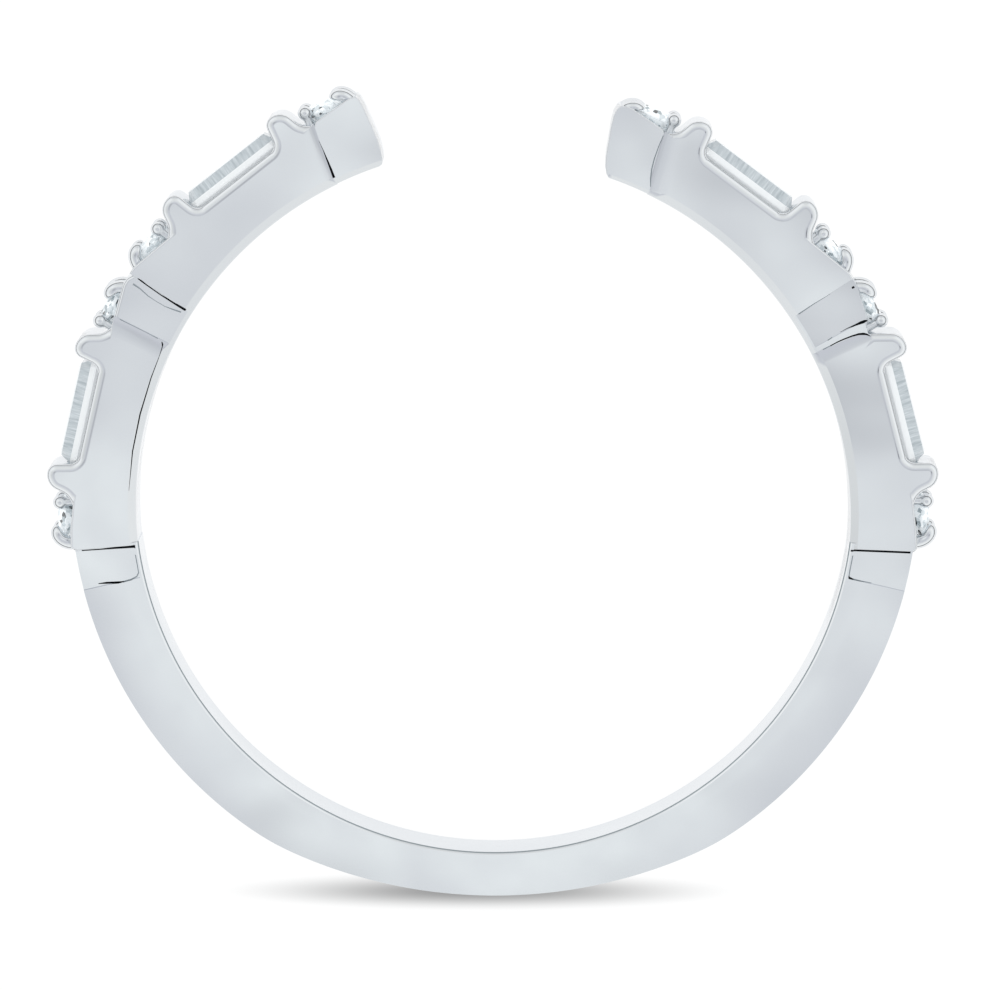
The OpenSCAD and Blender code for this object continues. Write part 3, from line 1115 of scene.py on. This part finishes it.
def finish_metal(obj):
    """Smooth shading, but crisp where a flat face ends at a bevel."""
    pick(obj)
    bpy.ops.object.shade_smooth_by_angle(angle=CRISP_TURN)
    upright = {}
    for face in obj.data.polygons:
        for key in face.edge_keys:
            upright.setdefault(key, []).append(abs(face.normal.z))

    def ends_flat(edge):
        beside = upright[edge.key]
        return max(beside) > 0.9995 and min(beside) < BEVEL_TURN

    edit_where(obj, "edges", ends_flat)
    bpy.ops.mesh.mark_sharp()
    leave()
    modifier = obj.modifiers.new("even faces", "WEIGHTED_NORMAL")
    modifier.keep_sharp = True
    modifier.weight = 100
    bpy.ops.object.modifier_apply(modifier=modifier.name)


band = build_band()
finish_metal(band)
settle(band, TO_METRES)
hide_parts("band")
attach(band, "root")

for side in SIDES:
    for spot, middle in (("low", FIRST_SETTING), ("high", FIRST_SETTING + STEP[side])):
        node = f"baguette_{side}_{spot}"
        stone = baguette(f"cut_{node}", 0.0)
        place = arm_place(side) @ edge_place(middle, BAGUETTE_TABLE - BAGUETTE_CROWN)
        settle(stone, TO_METRES @ place)
        stone.data.materials.append(STEP_DIAMOND)
        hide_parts(node)
        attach(stone, "root")

for name, obj in frame["nodes"].items():
    obj.data.materials.clear()
    obj.data.materials.append(METAL_AND_PAINTED_SHADES[POLISHED] if name == "band" else ROUND_DIAMOND)

# Floor: its width in metres, how strongly the paper glows, and how strongly in the soft shade
# beside the bottom of the ring. The shade is an ellipse with this middle and these half-widths in
# millimetres, and it fades between two shares of them
FLOOR_W = 1.2
PAPER_GLOW = 0.93
SHADE_GLOW = 0.26 * PAPER_GLOW
SHADE_AT = (-0.40, -9.95)
SHADE_SIZE = (6.1, 0.47)
SHADE_FADE = (0.05, 1.15)
deselect()
bpy.ops.mesh.primitive_plane_add(size=FLOOR_W)
floor = bpy.context.object
floor.name = "floor"
material, tree = new_material("matt_white_paper")
place = scene_node(tree, "ShaderNodeTexCoord")
# How far out in the ellipse each place is, 1 at its edge
from_shade = scene_node(
    tree,
    "ShaderNodeVectorMath",
    {"operation": "SUBTRACT", 1: (SHADE_AT[0] * MM, SHADE_AT[1] * MM, 0.0)},
    {0: place.outputs["Object"]},
)
ellipse = scene_node(
    tree,
    "ShaderNodeVectorMath",
    {"operation": "DIVIDE", 1: (SHADE_SIZE[0] * MM, SHADE_SIZE[1] * MM, 1.0)},
    {0: from_shade.outputs["Vector"]},
)
reach = scene_node(tree, "ShaderNodeVectorMath", {"operation": "LENGTH"}, {0: ellipse.outputs["Vector"]})
glow = scene_node(
    tree,
    "ShaderNodeMapRange",
    {
        "interpolation_type": "SMOOTHSTEP",
        "From Min": SHADE_FADE[0],
        "From Max": SHADE_FADE[1],
        "To Min": SHADE_GLOW,
        "To Max": PAPER_GLOW,
    },
    {"Value": reach.outputs["Value"]},
)
lit = scene_node(
    tree,
    "ShaderNodeBsdfPrincipled",
    {"Base Color": colour("#5c5c5c"), "Roughness": 0.9, "Emission Color": (1, 1, 1, 1)},
    {"Emission Strength": glow.outputs["Result"]},
)
scene_node(tree, "ShaderNodeOutputMaterial", links={"Surface": lit.outputs["BSDF"]})
floor.data.materials.append(material)

# White tent round the ring. What a flat face mirrors is near TENT_TOP: a pale opening, greyer round
# it, then the white walls of the tent, and a dark gap low down all round. Each ring of the tent is
# its angle from the top, how bright it is and its colour
TENT_TILT = math.radians(9)
TENT_TOP = Vector((-0.02, -math.sin(TENT_TILT), math.cos(TENT_TILT))).normalized()
TENT = [
    (0, 1.04, "#fafeff"),
    (3, 0.965, "#f9fdff"),
    (6, 0.855, "#f8fbff"),
    (9, 0.765, "#f5f9ff"),
    (13, 0.75, "#f4f7ff"),
    (19, 0.80, "#f6f9ff"),
    (27, 0.88, "#fafdff"),
    (37, 0.97, "#fdffff"),
    (50, 1.10, "#fdffff"),
    (64, 0.93, "#fafdff"),
    (180, 0.91, "#fafdff"),
]
# The gap low down: the heights of the direction between which it fades, and how bright it is
GAP_FADE = (0.16, 0.34)
GAP_LIGHT = 0.22
# Uneven patches of the tent: direction, where the soft edge starts and ends in degrees, factor. The
# first two are what the lavender parts of the arms mirror, the next two are what the curves beside
# the finger hole mirror, the fifth what the right arm's upper half mirrors and the last what the
# outer edge of the bottom mirrors
PATCHES = [
    ((0.25, -0.08, 0.965), 1.5, 4.5, 0.2),
    ((-0.23, 0.04, 0.97), 3.0, 9.0, 0.72),
    ((-0.59, 0.0, 0.81), 6.0, 22.0, 0.88),
    ((0.0, 0.77, 0.64), 8.0, 32.0, 0.82),
    ((0.05, 0.0, 1.0), 3.0, 5.8, 0.86),
    ((-0.01, -0.26, 1.0), 0.0, 5.5, 0.86),
]
world = bpy.data.worlds.new("white_tent")
bpy.context.scene.world = world
world.use_nodes = True
tree = world.node_tree
tree.nodes.clear()
place = scene_node(tree, "ShaderNodeTexCoord")


def half_turns_from(direction):
    """The angle of each direction from this one, as a share of half a turn."""
    dot = scene_node(
        tree,
        "ShaderNodeVectorMath",
        {"operation": "DOT_PRODUCT", 1: tuple(direction)},
        {0: place.outputs["Generated"]},
    )
    angle = scene_node(tree, "ShaderNodeMath", {"operation": "ARCCOSINE"}, {0: dot.outputs["Value"]})
    share = scene_node(
        tree, "ShaderNodeMath", {"operation": "DIVIDE", 1: math.pi}, {0: angle.outputs["Value"]}
    )
    return share.outputs["Value"]


def patch(strength, direction, inner, outer, value):
    """Changes the light round one direction by this factor, with a soft edge from inner to outer
    degrees."""
    edge = scene_node(
        tree,
        "ShaderNodeMapRange",
        {
            "interpolation_type": "SMOOTHSTEP",
            "From Min": inner / 180,
            "From Max": outer / 180,
            "To Min": value,
            "To Max": 1.0,
        },
        {"Value": half_turns_from(Vector(direction).normalized())},
    )
    changed = scene_node(
        tree, "ShaderNodeMath", {"operation": "MULTIPLY"}, {0: strength, 1: edge.outputs["Result"]}
    )
    return changed.outputs["Value"]


ramp = scene_node(tree, "ShaderNodeValToRGB", links={"Fac": half_turns_from(TENT_TOP)})
for _ in TENT[2:]:
    ramp.color_ramp.elements.new(0.5)
for element, (angle, value, code) in zip(ramp.color_ramp.elements, TENT):
    element.position = angle / 180
    element.color = [c * value for c in colour(code)[:3]] + [1.0]
parts = scene_node(tree, "ShaderNodeSeparateXYZ", links={"Vector": place.outputs["Generated"]})
gap = scene_node(
    tree,
    "ShaderNodeMapRange",
    {
        "interpolation_type": "SMOOTHSTEP",
        "From Min": GAP_FADE[0],
        "From Max": GAP_FADE[1],
        "To Min": GAP_LIGHT,
        "To Max": 1.0,
    },
    {"Value": parts.outputs["Z"]},
)
strength = gap.outputs["Result"]
for direction, inner, outer, factor in PATCHES:
    strength = patch(strength, direction, inner, outer, factor)
light = scene_node(
    tree, "ShaderNodeBackground", links={"Color": ramp.outputs["Color"], "Strength": strength}
)
scene_node(tree, "ShaderNodeOutputWorld", links={"Surface": light.outputs["Background"]})

# Camera at the photograph's angle, a little towards the open ends
CAMERA_PLACE = Vector((2.1, 22.0, 199.0)) * MM
CAMERA_AIM = Vector((0.016, -0.046, 1.0)) * MM
FRAME_WIDTH = 24.07 * MM
camera_data = bpy.data.cameras.new("camera")
camera = bpy.data.objects.new("camera", camera_data)
bpy.context.scene.collection.objects.link(camera)
bpy.context.scene.camera = camera
camera.location = CAMERA_PLACE
forward = (CAMERA_AIM - CAMERA_PLACE).normalized()
right = forward.cross(Vector((0, 1, 0))).normalized()
up = right.cross(forward)
camera.matrix_world = Matrix((
    (right.x, up.x, -forward.x, CAMERA_PLACE.x),
    (right.y, up.y, -forward.y, CAMERA_PLACE.y),
    (right.z, up.z, -forward.z, CAMERA_PLACE.z),
    (0, 0, 0, 1),
))
camera_data.sensor_width = 36.0
camera_data.lens = camera_data.sensor_width * (CAMERA_PLACE - CAMERA_AIM).length / FRAME_WIDTH
camera_data.clip_start = 0.001
camera_data.clip_end = 10.0

bpy.context.scene.view_settings.view_transform = "Standard"
